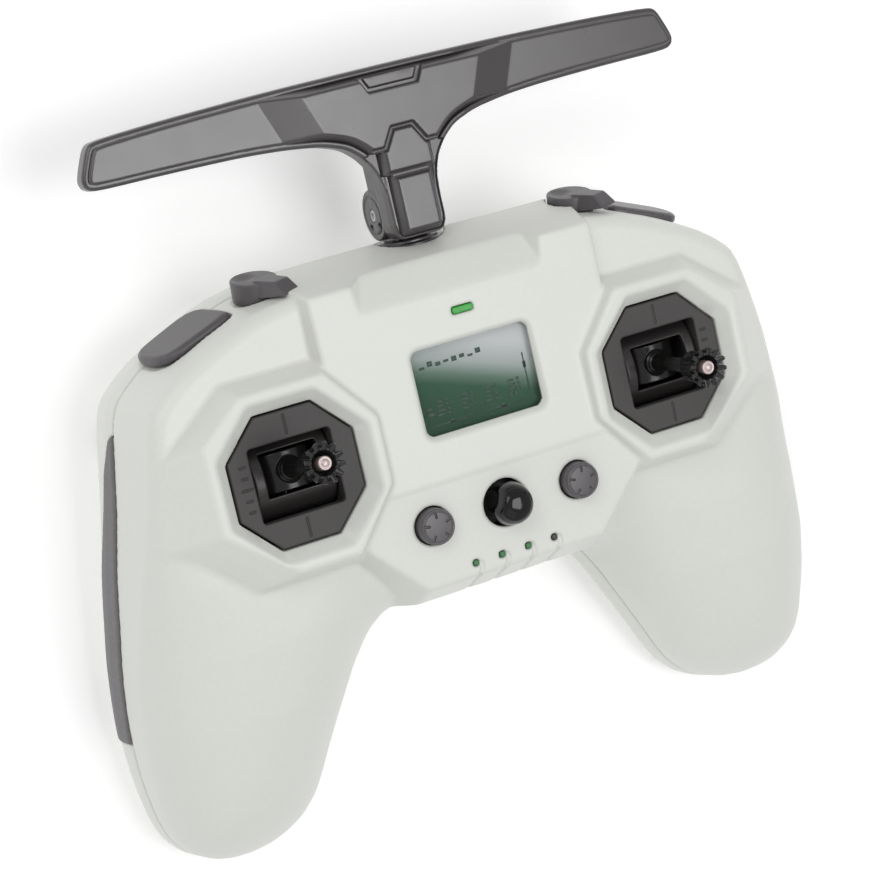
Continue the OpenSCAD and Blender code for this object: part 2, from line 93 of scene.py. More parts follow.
def polygon(x, y, points):
    """Exact signed distance to a closed polygon, negative inside."""
    d = np.inf
    sign = 1.0
    for (ax, ay), (bx, by) in zip(points, points[-1:] + points[:-1]):
        ex, ey = bx - ax, by - ay
        wx, wy = x - ax, y - ay
        t = np.clip((wx * ex + wy * ey) / max(ex * ex + ey * ey, 1e-9), 0, 1)
        d = np.minimum(d, (wx - ex * t) ** 2 + (wy - ey * t) ** 2)
        crosses = ((y >= ay) & (y < by) & (ex * wy > ey * wx)) | (
            (y < ay) & (y >= by) & (ex * wy < ey * wx))
        sign = np.where(crosses, -sign, sign)
    return sign * np.sqrt(d)


def polyline(x, y, points):
    """Distance to an open chain of segments."""
    d = np.inf
    for (ax, ay), (bx, by) in zip(points[:-1], points[1:]):
        ex, ey = bx - ax, by - ay
        wx, wy = x - ax, y - ay
        t = np.clip((wx * ex + wy * ey) / (ex * ex + ey * ey), 0, 1)
        d = np.minimum(d, (wx - ex * t) ** 2 + (wy - ey * t) ** 2)
    return np.sqrt(d)


def frustum(x, y, z, low, z_low, high, z_high, k=0.5, ends=(True, True)):
    """Convex solid between two anticlockwise polygons with the same number of corners."""
    f = -1e3
    for i in range(len(low)):
        a, b = low[i], low[(i + 1) % len(low)]
        c, d = high[i], high[(i + 1) % len(high)]
        p = np.array([a[0], a[1], z_low])
        along = np.array([b[0] - a[0], b[1] - a[1], 0.0])
        if np.hypot(*along[:2]) < 1e-6:
            along = np.array([d[0] - c[0], d[1] - c[1], 0.0])
        n = np.cross(along, np.array([c[0] - a[0], c[1] - a[1], z_high - z_low]))
        n = n / np.linalg.norm(n)
        side = (x - p[0]) * n[0] + (y - p[1]) * n[1] + (z - p[2]) * n[2]
        f = smax(f, side, k) if i else side
    if ends[1]:
        f = smax(f, z - z_high, k)
    return smax(f, z_low - z, k) if ends[0] else f


def box(x, y, z, centre, size, r=0.0):
    """Rounded block."""
    q = [abs(c - m) - s / 2 + r for c, m, s in zip((x, y, z), centre, size)]
    out = sum(np.maximum(c, 0) ** 2 for c in q)
    return np.sqrt(out) + np.minimum(np.maximum(np.maximum(q[0], q[1]), q[2]), 0) - r


def slab(x, y, cx, cy, w, h, r):
    """Rounded rectangle in the plane."""
    qx, qy = abs(x - cx) - w / 2 + r, abs(y - cy) - h / 2 + r
    return np.hypot(np.maximum(qx, 0), np.maximum(qy, 0)) + np.minimum(np.maximum(qx, qy), 0) - r


def cos_sin(degrees):
    return math.cos(math.radians(degrees)), math.sin(math.radians(degrees))


def turned(u, v, angle):
    """Coordinates in axes turned anticlockwise by angle degrees."""
    c, s = cos_sin(angle)
    return c * u + s * v, c * v - s * u


def octagon(half, qx, qy, outboard=0.0):
    """Corners of the eight-sided stick outline; outboard is the half width towards the grip."""
    left = max(outboard, half)
    return [(qx, half), (-qx, half), (-left, qy), (-left, -qy), (-qx, -half), (qx, -half),
            (half, -qy), (half, qy)]


class Field:
    """A block of space sampled every h mm, holding one signed distance."""

    def __init__(self, low, high, h):
        self.h, self.low = h, np.array(low, float)
        n = np.ceil((np.array(high) - low) / h).astype(int) + 1
        self.axes = [self.low[i] + h * np.arange(n[i]) for i in range(3)]
        self.f = np.full(n, 1e3, np.float32)

    def part(self, low, high):
        """The slice between two corners, and its x, y and z, ready to broadcast."""
        s, c = [], []
        for i in range(3):
            a = max(0, int((low[i] - self.low[i]) / self.h))
            b = min(self.f.shape[i], int((high[i] - self.low[i]) / self.h) + 2)
            s.append(slice(a, b))
            shape = [1, 1, 1]
            shape[i] = -1
            c.append(self.axes[i][s[i]].reshape(shape).astype(np.float32))
        return tuple(s), c

    def all(self):
        """The x, y and z of the whole block."""
        return self.part(self.low, [a[-1] for a in self.axes])[1]

    def add(self, fn, low, high, k=0.3):
        """Joins a shape on between two corners."""
        s, c = self.part(low, high)
        self.f[s] = smin(self.f[s], fn(*c), k)

    def cut(self, fn, low, high, k=0.3):
        """Takes a shape away between two corners."""
        s, c = self.part(low, high)
        self.f[s] = smax(self.f[s], -fn(*c), k)

    def level(self):
        """Rescales the field so that it grows by 1 per mm near its surface."""
        g = np.gradient(self.f, self.h)
        self.f /= np.maximum(np.sqrt(g[0] ** 2 + g[1] ** 2 + g[2] ** 2), 0.3)

    def sample(self, p):
        """The distance at any points, straight between the samples."""
        q = (p - self.low) / self.h
        i = np.clip(q.astype(int), 0, np.array(self.f.shape) - 2)
        t = q - i
        v = 0
        for dx in (0, 1):
            for dy in (0, 1):
                for dz in (0, 1):
                    w = np.abs(1 - dx - t[:, 0]) * np.abs(1 - dy - t[:, 1]) * np.abs(1 - dz - t[:, 2])
                    v = v + w * self.f[i[:, 0] + dx, i[:, 1] + dy, i[:, 2] + dz]
        return v

    def slope(self, p, e=0.6):
        """The gradient at any points, over e samples each way."""
        g = np.empty_like(p)
        for a in range(3):
            step = np.zeros(3)
            step[a] = e * self.h
            g[:, a] = (self.sample(p + step) - self.sample(p - step)) / (2 * e * self.h)
        return g

    def surface(self):
        """Corners and quads of the zero surface, by surface nets."""
        f = self.f
        inside = f < 0
        shape = np.array(f.shape) - 1
        corner = [(dx, dy, dz) for dx in (0, 1) for dy in (0, 1) for dz in (0, 1)]
        count = np.zeros(shape, np.uint8)
        for dx, dy, dz in corner:
            count += inside[dx:shape[0] + dx, dy:shape[1] + dy, dz:shape[2] + dz]
        cells = np.argwhere((count > 0) & (count < 8))
        values = {c: f[cells[:, 0] + c[0], cells[:, 1] + c[1], cells[:, 2] + c[2]] for c in corner}
        total, hits = np.zeros((len(cells), 3)), np.zeros(len(cells))
        for c in corner:
            for a in range(3):
                if c[a]:
                    continue
                d = tuple(c[i] + (i == a) for i in range(3))
                va, vb = values[c], values[d]
                m = (va < 0) != (vb < 0)
                t = va[m] / (va[m] - vb[m])
                spot = np.array(c, float) + np.zeros((m.sum(), 3))
                spot[:, a] = t
                total[m] += spot
                hits[m] += 1
        points = (cells + total / hits[:, None]) * self.h + self.low
        index = np.full(shape, -1, np.int32)
        index[tuple(cells.T)] = np.arange(len(cells))
        quads = []
        for a in range(3):
            u, v = (a + 1) % 3, (a + 2) % 3
            first = [slice(None)] * 3
            second = [slice(None)] * 3
            first[a], second[a] = slice(None, -1), slice(1, None)
            for s in (first, second):
                s[u], s[v] = slice(1, -1), slice(1, -1)
            p, q = inside[tuple(first)], inside[tuple(second)]
            for mask, flip in ((p & ~q, False), (~p & q, True)):
                at = np.argwhere(mask)
                at[:, u] += 1
                at[:, v] += 1
                ring = []
                for du, dv in ((-1, -1), (0, -1), (0, 0), (-1, 0)):
                    c = at.copy()
                    c[:, u] += du
                    c[:, v] += dv
                    ring.append(index[tuple(c.T)])
                quads.append(np.stack(ring[::-1] if flip else ring, 1))
        for _ in range(2):
            g = self.slope(points)
            step = (self.sample(points) / np.maximum((g ** 2).sum(1), 0.05))[:, None] * g
            points -= np.clip(step, -0.4 * self.h, 0.4 * self.h)
        return points, np.concatenate(quads)


def new_mesh(name, points, faces):
    """A mesh from points and faces that all have the same number of corners."""
    me = bpy.data.meshes.new(name)
    me.vertices.add(len(points))
    me.vertices.foreach_set("co", np.asarray(points, np.float32).ravel())
    me.loops.add(faces.size)
    me.loops.foreach_set("vertex_index", faces.ravel().astype(np.int32))
    me.polygons.add(len(faces))
    me.polygons.foreach_set("loop_start", np.arange(0, faces.size, faces.shape[1], dtype=np.int32))
    me.update(calc_edges=True)
    me.validate()
    return me


def solid(name, field, tris=None, place=None, mirrored=False):
    """A closed, smooth-shaded mesh of a field. place turns the piece's own mm into face mm."""
    points, quads = field.surface()
    me = new_mesh(name, points, quads)
    if tris and 2 * len(quads) > tris:
        o = bpy.data.objects.new(name + "_dense", me)
        bpy.context.scene.collection.objects.link(o)
        o.modifiers.new("decimate", "DECIMATE").ratio = tris / (2 * len(quads))
        o.modifiers.new("triangles", "TRIANGULATE")
        small = bpy.data.meshes.new_from_object(o.evaluated_get(bpy.context.evaluated_depsgraph_get()))
        bpy.data.objects.remove(o)
        me = small
        me.name = name
    co = np.empty(len(me.vertices) * 3, np.float32)
    me.vertices.foreach_get("co", co)
    co = co.reshape(-1, 3).astype(float)
    normal = field.slope(co)
    normal /= np.maximum(np.linalg.norm(normal, axis=1), 1e-6)[:, None]
    turn, shift = place if place is not None else (np.eye(3), np.zeros(3))
    co, normal = co @ turn.T + shift, normal @ turn.T
    if mirrored:
        co[:, 0] *= -1
        normal[:, 0] *= -1
        me.flip_normals()
    me.vertices.foreach_set("co", ((co + FACE) / 1000).astype(np.float32).ravel())
    me.polygons.foreach_set("use_smooth", [True] * len(me.polygons))
    me.update()
    me.normals_split_custom_set_from_vertices(normal.astype(np.float32).tolist())
    o = bpy.data.objects.new(name, me)
    bpy.context.scene.collection.objects.link(o)
    return o


def finish_piece(o, material, body, slot, *nodes):
    """Gives an object its material and its moving body, and hides the nodes it replaces; slot is not used."""
    o.data.materials.clear()
    o.data.materials.append(material)
    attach(o, body)
    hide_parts(*nodes)


def piece(name, field, tris, look, body, slot, node, place=None, mirrored=False):
    """Builds one visible piece in place of one CAD node."""
    finish_piece(solid(name, field, tris, place, mirrored), look, body, slot, node)


# ---------- the case ----------

# widest outline of the case, right half, from the top round to the bottom
OUTLINE = [(0, 42.6), (30, 42.4), (42, 41.6), (50, 39.9), (60, 36), (69.6, 31.3), (75, 27.5), (79.1, 23.6),
           (80.9, 19.5), (82, 15), (83.4, 8), (85, 0), (86.6, -8), (88.1, -15), (89.2, -22), (90.4, -30),
           (91.7, -38), (92.5, -46), (93, -54), (92.9, -60), (92.6, -66), (91.9, -72), (90.6, -79),
           (88.6, -84.3), (85, -88.8), (80, -91.9), (75.5, -93.1), (70, -93.4), (64, -92.4), (59.5, -90.6),
           (55.1, -88), (50.6, -83.2), (47.6, -78), (44.8, -72), (41.8, -66), (38.7, -60), (35.6, -54),
           (31, -46.6), (27.5, -43.2), (22, -41.4), (10, -41), (0, -41)]
# z of the middle line and of the face, along y from the bottom to the top
MIDDLE = ([-94, -60, 0, 45], [-38.4, -34.5, -25, -24])
CREST = ([-94, -75, -55, -38, -20, -4, 18, 40], [-20, -16.5, -11, -8, -6, -5, -4.2, -3.6])


def rounded(points, times=2):
    """Corner cutting of a closed polygon."""
    p = np.array(points, float)
    for _ in range(times):
        q = np.roll(p, -1, axis=0)
        p = np.stack([0.8 * p + 0.2 * q, 0.2 * p + 0.8 * q], 1).reshape(-1, 2)
    return [tuple(v) for v in p]


class Plan:
    """A distance to the outline, precomputed on a fine grid and softened inside."""

    def __init__(self, h=0.5):
        self.h = h
        self.x = np.arange(-104, 104.1, h)
        self.y = np.arange(-98, 52.1, h)
        half = OUTLINE + [(-a, b) for a, b in OUTLINE[::-1] if a > 0]
        d = polygon(self.x[:, None], self.y[None, :], rounded(half, 1))
        n = int(round(9 / h))
        t = np.linspace(-1, 1, 2 * n + 1)
        w = np.exp(-4.5 * t * t)  # bell-shaped weights
        w /= w.sum()
        soft = d
        for axis in (0, 1):
            pad = [(n, n) if i == axis else (0, 0) for i in (0, 1)]
            e = np.pad(soft, pad, mode="edge")
            length = soft.shape[axis]
            soft = sum(w[j] * np.take(e, range(j, j + length), axis) for j in range(2 * n + 1))
        blend = smooth((-d - 3) / 8)
        self.d = (d + (soft - d) * blend).astype(np.float32)

    def __call__(self, x, y):
        qx = (x.ravel() - self.x[0]) / self.h
        qy = (y.ravel() - self.y[0]) / self.h
        i = np.clip(qx.astype(int), 0, len(self.x) - 2)
        j = np.clip(qy.astype(int), 0, len(self.y) - 2)
        u, v = (qx - i)[:, None], (qy - j)[None, :]
        a, b = self.d[np.ix_(i, j)], self.d[np.ix_(i + 1, j)]
        c, e = self.d[np.ix_(i, j + 1)], self.d[np.ix_(i + 1, j + 1)]
        return ((1 - u) * (1 - v) * a + u * (1 - v) * b + (1 - u) * v * c + u * v * e)[:, :, None]


plan = Plan()


def seam(y):
    """Height of the joint between the two halves."""
    return np.interp(y, *MIDDLE) - SEAM_DROP


def body(x, y, z):
    """Plain case, without the raised parts of the face."""
    d = plan(x, y)
    wide = np.interp(y, *MIDDLE) - 5
    handle = smooth((10 - y) / 56) * smooth((np.abs(x) - 16) / 24)
    crest = np.interp(y, *CREST)
    r = 3.5 + 20 * handle
    v = 3.5 + 13 * handle
    front_d = d + 0.15 * np.maximum(z - wide, 0)
    p = 2.2
    a = np.maximum(front_d + r, 0) / r
    b = np.maximum(z - crest + v, 0) / v
    front = ((a ** p + b ** p) ** (1 / p) - 1) * (r + v) / 2
    front = np.where((a == 0) & (b == 0), np.maximum(front_d, z - crest), front)
    back_r, back_v = 15.0, wide - BACK
    a = np.maximum(d + back_r, 0) / back_r
    b = np.maximum(wide - z, 0) / (back_v + 0.4)
    back = ((a ** 2.4 + b ** 2.4) ** (1 / 2.4) - 1) * back_r
    f = np.where(z > wide, front, back)
    return smax(f, BACK - z + 0 * f, 1.0)


def hood(x, y, z):
    """Raised frame round a stick plate, sloping out to the case on every side."""
    u = -np.abs(x) + STICK_X
    foot, rim = octagon(24.6, 12.6, 9.9, 31), octagon(21.1, 10, 8.2)
    return frustum(u, y, z, foot, -5.6, rim, 3, 0.6, (False, True))


def panel(x, y, z):
    """Raised centre panel: two gently sloped halves with a small step, and bevelled sides."""
    u = np.abs(x)
    upper = z - 1.2 + (y + 11.5) * 0.0244
    lower = z - 1.2 - (y + 11.5) * 0.0502 + 0.28 * smooth((-10.9 - y) / 0.9)
    f = smax(upper, lower, 0.2)
    f = smax(f, (y - 37.8) * 0.97 + z * 0.26, 0.7)
    f = smax(f, (-y - 35.4) * 0.89 + z * 0.45, 0.7)
    f = smax(f, (u - 36.6) * 0.97 + z * 0.22, 0.8)
    corner = ((u - 36.2) * 0.717 - (y + 22) * 0.697) * 0.92 + z * 0.39
    f = smax(f, corner, 0.7)
    f = smax(f, -y - 40.2, 0.8)
    return smax(f, -22 - z, 0.5)


def notch(x, y, z):
    """Wide cut in the top edge, in front of the antenna."""
    return frustum(x, y, z, [(-20, 41), (20, 41), (24, 62), (-24, 62)], -6.5,
                   [(-22.2, 29.6), (22.2, 29.6), (31.6, 62), (-31.6, 62)], 1.6, 0.8, (True, False))


def funnel(x, y, z):
    """Flared opening over a stick plate, and the straight well below it."""
    u = -np.abs(x) + STICK_X
    flared = frustum(u, y, z, octagon(15.85, 7.2, 6.9), 0, octagon(18.8, 8.9, 7.4), 3, 0.5, (False, False))
    return smax(np.minimum(flared, np.maximum(well(x, y, z), z - 0.1)), -40 - z, 0.3)


def well(x, y, z):
    """Straight-sided hole for a stick plate."""
    u = -np.abs(x) + STICK_X
    return polygon(u + 0 * y, y + 0 * u, octagon(15.85, 7.2, 6.9))


def outer(field):
    """The plain case with the low boss round the antenna's collar."""
    x, y, z = field.all()
    field.f[...] = body(x, y, z)
    field.level()

    def boss(x, y, z):
        return smax(np.hypot(x, z - FOLD[1]) - 10.7, np.maximum(y - 40.7, 36 - y), 0.7)
    field.add(boss, (-13, 34, -38), (13, 46, -10), 1.0)


SCREWS = [(-74, 12), (74, 12), (-64, -70), (64, -70), (-27, 34), (27, 34)]
S_GROOVE = [(1.3, -32.3), (1.5, -33.6), (1.1, -34.8), (0.3, -35.6), (0.1, -37), (0.1, -41.5)]


def hollow(g, skin, joint):
    """Leaves a wall inside the skin, ending at the joint between the halves."""
    g.f = smax(g.f, -(skin + WALL), 0.5)
    g.f = smax(g.f, joint.astype(np.float32), 0.45)


def front_shell():
    """Front half of the case with its raised frames, panel and openings."""
    g = Field((-96, -96, -42), (96, 46, 5), 0.6)
    outer(g)
    for s in (-1, 1):
        g.add(lambda x, y, z: smax(hood(x, y, z), plan(x, y) + 5, 1.5), (min(13 * s, 90 * s), -30, -14),
              (max(13 * s, 90 * s), 30, 5), 0.9)
    raised, (x, y, z) = g.part((-44, -46, -24), (44, 45, 5))
    top = smax(panel(x, y, z), -notch(x, y, z), 0.6)
    g.f[raised] = smin(g.f[raised], top, 0.6)
    s, c = g.part((-34, 28, -12), (34, 46, 5))
    g.f[s] = smax(g.f[s], -notch(*c), 0.8)
    skin = g.f.copy()
    x, y, z = g.all()
    hollow(g, skin, seam(y) - z)
    for px, py in SCREWS:
        s, c = g.part((px - 6, py - 6, -41), (px + 6, py + 6, 0))
        post = np.maximum(np.hypot(c[0] - px, c[1] - py) - 4.2, seam(c[1]) - c[2])
        g.f[s] = smin(g.f[s], np.maximum(post, skin[s] + 1), 0.5)
        g.cut(lambda x, y, z: np.maximum(np.hypot(x - px, y - py) - 1.4, z + 22), (px - 3, py - 3, -41),
              (px + 3, py + 3, -20))
    for s in (-1, 1):
        low, high = (min(25 * s, 72 * s), -24, -20), (max(25 * s, 72 * s), 24, 5)
        sl, (x, y, z) = g.part(low, high)
        collar = polygon(-np.abs(x) + STICK_X + 0 * y, y + 0 * x, octagon(19.4, 9.3, 7.8))
        g.f[sl] = smin(g.f[sl], np.maximum(smax(collar, -12 - z, 0.5), skin[sl] + 0.4), 0.4)
        g.cut(funnel, low, high, 0.5)
        g.cut(lambda x, y, z: np.maximum(box(x, y, z, (s * STICK_X, 0, -18), (33, 33, 18), 1), 0 * z - 1),
              low, high)
        # menu button hole
        px = BUTTON_X * s
        g.cut(lambda x, y, z: np.hypot(x - px, y - KNOB_Y) - 4.6 + 0 * z, (px - 7, -28, -9),
              (px + 7, -13, 5), 0.5)
        shoulder_cut(g, s)
        # lever's hole and round seat
        px = LEVER[0] * s
        g.cut(lambda x, y, z: np.hypot(x - px, lever_frame(x, y, z)[1]) - 2.9, (px - 5, 34, -23),
              (px + 5, 46, -13), 0.4)

        def seat(x, y, z):
            h, w = lever_frame(x, y, z)
            return smax(np.hypot(x - px, w) - 5.95, -2.1 - h, 0.1)
        g.cut(seat, (px - 8, 35, -26), (px + 8, 46, -10), 0.15)

    # display opening: a bevelled frame round the window
    def frame_cut(x, y, z):
        bevel = slab(x, y, 0, WINDOW_Y, 29.3, 19.1, 1.2) - np.maximum(z + 1.1, 0) * 0.85
        return smax(bevel * 0.78, -3 - z, 0.3)
    g.cut(frame_cut, (-20, -4, -5), (20, 23, 5), 0.4)
    g.cut(lambda x, y, z: np.maximum(slab(x, y, 0, WINDOW_Y, 31.2, 21.2, 1), np.maximum(z + 1, -5 - z)),
          (-18, -3, -7), (18, 22, 1), 0.1)
    # holes of the knob, the power light and the battery lights, which have a groove below each
    g.cut(lambda x, y, z: np.hypot(x, y - KNOB_Y) - 5.75 + 0 * z, (-9, -30, -9), (9, -11, 5), 0.3)
    g.cut(lambda x, y, z: slab(x, y, 0, POWER_Y, 5.7, 1.8, 0.5) + 0 * z, (-5, 23, -9), (5, 29, 5), 0.3)
    for i in (-1.5, -0.5, 0.5, 1.5):
        px = LIGHT_PITCH * i
        g.cut(lambda x, y, z: slab(x, y, px, LIGHTS_Y, 1.7, 1.6, 0.4) + 0 * z, (px - 3, -36, -9),
              (px + 3, -29, 5), 0.3)
        s, c = g.part((px - 4, -45, -18), (px + 4, -30, 5))
        line = polyline(c[0] - px, c[1], S_GROOVE) - 0.34
        g.f[s] = smax(g.f[s], -np.maximum(line, -(skin[s] + 0.6)), 0.3)
    antenna_cut(g)
    usb_cut(g)
    return g


# outline of a paddle on its shoulder, where the shoulder is, its slope in plan and its lean
PADDLE = [(-10.8, -2.2), (-9.9, -5.6), (-7.6, -7.5), (8.2, -8.5), (11.2, 6.5), (9, 8.5), (-6.5, 8), (-9.6, 4)]
PADDLE_AT = (60.5, 34.5, -21.5)
PADDLE_TURN = 21
PADDLE_LEAN = 9
# foot of the right lever's axis, the lean of the top wall and how far the lever sinks into it
LEVER = (41.8, 40.5, -18)
LEVER_LEAN = 10
LEVER_SINK = (0.64, 0.11)


def shoulder(x, y, z, side):
    """Coordinates along, out of and across the sloped, leaning shoulder that carries a paddle."""
    u, v = turned(PADDLE_AT[0] - side * x, y - PADDLE_AT[1], PADDLE_TURN)
    v, w = turned(v, z - PADDLE_AT[2], PADDLE_LEAN)
    return u, v, w


def lever_frame(x, y, z):
    """Height along a lever's axis and distance towards the face, for the leaning top wall."""
    return turned(y - LEVER[1], z - LEVER[2], LEVER_LEAN)


def shoulder_cut(g, side):
    """Recess for a paddle, with a hole for its plunger."""
    def recess(x, y, z):
        u, v, w = shoulder(x, y, z, side)
        u, v, w = np.broadcast_arrays(u, v, w)
        f = smax(polygon(u, w, rounded(PADDLE, 1)) - 0.35, -1.6 - v, 0.3)
        return np.minimum(f, box(u, v, w, (0, -3, 0), (5.6, 8, 3.6), 0.3))
    g.cut(recess, (min(44 * side, 78 * side), 22, -36), (max(44 * side, 78 * side), 48, -8), 0.4)


def antenna_cut(g):
    """Round hole for the antenna's collar."""
    def hole(x, y, z):
        return np.maximum(np.hypot(x, z - FOLD[1]) - np.where(y > 40.4, 9.4, 9.1), 24 - y)
    g.cut(hole, (-12, 24, -37), (12, 46, -11), 0.5)


def usb_cut(g):
    """Opening of the charging port, in the lower edge."""
    g.cut(lambda x, y, z: slab(x, z + 33.5, 0, 0, 9.4, 3.7, 1.8) + np.maximum(y + 36, 0), (-8, -46, -38),
          (8, -30, -29), 0.4)


def rear_shell():
    """Rear half of the case, with screw holes, grip recesses and sound holes."""
    g = Field((-96, -96, -52), (96, 46, -22), 0.6)
    outer(g)
    skin = g.f.copy()
    x, y, z = g.all()
    hollow(g, skin, z - seam(y) + SEAM_GAP)
    for px, py in SCREWS:
        s, c = g.part((px - 6, py - 6, -52), (px + 6, py + 6, -22))
        post = np.maximum(np.hypot(c[0] - px, c[1] - py) - 4.2, c[2] - seam(c[1]))
        g.f[s] = smin(g.f[s], np.maximum(post, skin[s] + 1), 0.5)
        g.cut(lambda x, y, z: np.maximum(np.hypot(x - px, y - py) - np.where(z < -44, 3, 1.4), 0 * z - 5),
              (px - 5, py - 5, -52), (px + 5, py + 5, -22), 0.4)
    for s in (-1, 1):
        shoulder_cut(g, s)
        sl, c = g.part((min(78 * s, 98 * s), -62, -50), (max(78 * s, 98 * s), 22, -22))
        g.f[sl] = smax(g.f[sl], -np.maximum(strip(*c) - SEAM_GAP, -(skin[sl] + 1.3)), 0.3)
    antenna_cut(g)
    usb_cut(g)
    for i in range(-2, 3):
        px = 31 + 3 * i
        g.cut(lambda x, y, z: slab(x, y, px, -20, 1.2, 12, 0.6) + 0 * z, (px - 2, -28, -52),
              (px + 2, -12, -45), 0.3)
    return g


def strip(x, y, z):
    """Side view outline of the soft grip, as a prism along x."""
    along = [-57, -50, -42, -32, -22, -12, -2, 8, 16]
    t = np.interp(y, along, [9.5, 11, 10.8, 10.3, 9.2, 7.8, 6.2, 4.2, 1.2])
    low = seam(y) - 0.7 - t
    ends = np.maximum(-57.4 - y, y - 16.6)
    sides = smax(z - seam(y) - 0.1, low - z, 1.5)
    return smax(np.maximum(sides, ends), ends + 0 * z, 2.0)


def grip():
    """Soft side grip: the skin of the rear half, slightly raised, within the strip."""
    g = Field((-97, -60, -50), (-77, 20, -24), 0.35)
    outer(g)
    skin = g.f.copy()
    g.f = smax(skin - 0.55, -(skin + 1.2), 0.4)
    x, y, z = g.all()
    edge = np.maximum(strip(x, y, z), z - seam(y) + SEAM_GAP)
    g.f = smax(g.f, edge, 0.5)
    return g


# ---------- sticks ----------

def stick_plate():
    """Gimbal housing under its eight-sided plate."""
    g = Field((-16.6, -16.6, -25.6), (16.6, 16.6, 0.8), 0.2)
    x, y, z = g.all()
    top = polygon(x + 0 * y, y + 0 * x, octagon(15.4, 7, 6.7))
    f = smax(top + 0 * z, np.maximum(z, -2 - z), 0.45)
    housing = np.maximum(np.maximum(np.abs(x) - 12, np.abs(y) - 13), top + 0.3)
    f = smin(f, smax(housing + 0 * z, np.maximum(z + 1, -25 - z), 0.4), 0.2)
    f = smax(f, -slab(x, y, 0, 0, 20.3, 17.5, 0.9) - np.maximum(-3 - z, 0) * 4, 0.5)
    f = np.maximum(f, -np.maximum(slab(x, y, 0, 0, 20.3, 22.4, 3) + 0 * z, np.abs(z + 12.9) - 10.5))
    f = np.maximum(f, 1.65 - np.hypot(y, z - PIVOT) - 0 * x)
    # moulded centre lines and travel marks
    mark = slab(x, np.abs(y), 0, 12.1, 0.42, 4.8, 0.2)
    for i in range(-2, 3):
        mark = np.minimum(mark, slab(x, y, -12.1, i * 2.6, 2.9 if i == 0 else 1.7, 0.42, 0.2))
    g.f[...] = smax(f, -np.maximum(mark + 0 * z, -0.28 - z), 0.15)
    return g


def yoke():
    """Outer rocker of a gimbal: a curved frame on two pivots along x."""
    g = Field((-12.4, -11.5, -4.6), (12.4, 11.5, 11.6), 0.2)
    x, y, z = g.all()
    r = np.hypot(y, z)
    f = smax(r - 11 + 0 * x, np.maximum(np.abs(x) - 9.8, -4 - z), 0.7)
    f = smax(f, -np.maximum(r - 9.4, np.abs(x) - 8.7), 0.3)
    f = smax(f, -np.maximum(slab(x, y, 0, 0, 14.1, 10.3, 0.4) + 0 * z, -z), 0.45)
    f = np.minimum(f, np.maximum(r - 1.5, np.abs(np.abs(x) - 10.65) - 1.25))
    g.f[...] = np.maximum(f, 1.3 - np.hypot(x, z) - 0 * y)
    return g


def stick():
    """Inner drum on a pivot along y, with the threaded shaft."""
    g = Field((-8.9, -11.2, -4), (8.9, 11.2, 25), 0.2)
    x, y, z = g.all()
    r = np.hypot(x, z)
    f = smax(r - 8.3 + 0 * y, np.maximum(np.abs(y) - 4.6, -3 - z), 0.3)
    f = np.minimum(f, np.maximum(r - 1.2, np.abs(y) - 10.7))
    thread = 0.09 * np.sin(z * 2 * math.pi / 0.9)
    shaft = np.hypot(x, y) - np.interp(z, [7, 8.6, 9.4, 12.5], [3.2, 3, 2.1, 1.65]) - thread
    g.f[...] = smin(f, smax(shaft, np.maximum(z - SHAFT, 6 - z), 0.2), 0.3)
    return g


def crown():
    """Thumb rest: a ribbed barrel under twelve flared points."""
    g = Field((-6, -6, -0.5), (6, 6, 9.3), 0.12)
    x, y, z = g.all()
    r = np.hypot(x, y) + 0 * z
    turn = (np.arctan2(y, x) * 12 / (2 * math.pi)) % 1 - 0.5
    across = np.abs(r * np.sin(turn * 2 * math.pi / 12))
    f = smax(r - np.interp(z, [0, 0.7, 1.2, 3.6, 7.6, 8.6], [2.8, 3.4, 3.65, 3.8, 4.5, 4.95]), -z, 0.4)
    f = smax(f, z - 8.6 + 0.7 * np.maximum(across - 0.25, 0) + 0.4 * (4.9 - r), 0.3)
    f = smax(f, np.interp(z, [4.8, 8.5], [2.2, 3]) - r - np.maximum(4.8 - z, 0) * 3, 0.25)
    tooth = across - np.interp(z, [3.4, 6, 8.5], [1.4, 0.8, 0.6])
    f = smax(f, np.minimum(tooth, r - 3.4), 0.2)
    groove = np.hypot(across - 0.98, 3.9 - r) - 0.3
    f = smax(f, -np.maximum(groove, z - 5.5), 0.15)
    g.f[...] = smax(f, 1.95 - r - np.maximum(3.4 - z, 0) * 5, 0.1)
    return g


def tip():
    """Metal end of the shaft in the middle of the thumb rest."""
    g = Field((-2.4, -2.4, 3), (2.4, 2.4, 9), 0.12)
    x, y, z = g.all()
    r = np.hypot(x, y)
    f = smax(r - 1.6 + 0 * z, np.maximum(z - 8.3 - 0.25 * smooth((1.3 - r) / 1.1), 3.45 - z), 0.35)
    g.f[...] = smax(f, 0.25 - np.hypot(r - 1.05, z - 8.5), 0.1)
    return g


# ---------- controls on the face ----------

def window():
    """Clear plate over the display."""
    g = Field((-16, -2, -2.8), (16, 20.4, -0.5), 0.15)
    x, y, z = g.all()
    g.f[...] = smax(slab(x, y, 0, WINDOW_Y, 31, 21, 1) + 0 * z, np.abs(z + 1.65) - 0.75, 0.25)
    return g


def light(px, py, w, h, top):
    """Small light guide that ends at height top."""
    g = Field((px - w, py - h - 0.5, -4.5), (px + w, py + h + 0.5, top + 0.5), 0.12)
    x, y, z = g.all()
    g.f[...] = smax(slab(x, y, px, py, w, h, 0.42 * h) + 0 * z, np.maximum(z - top, -4.2 - z), 0.3)
    return g


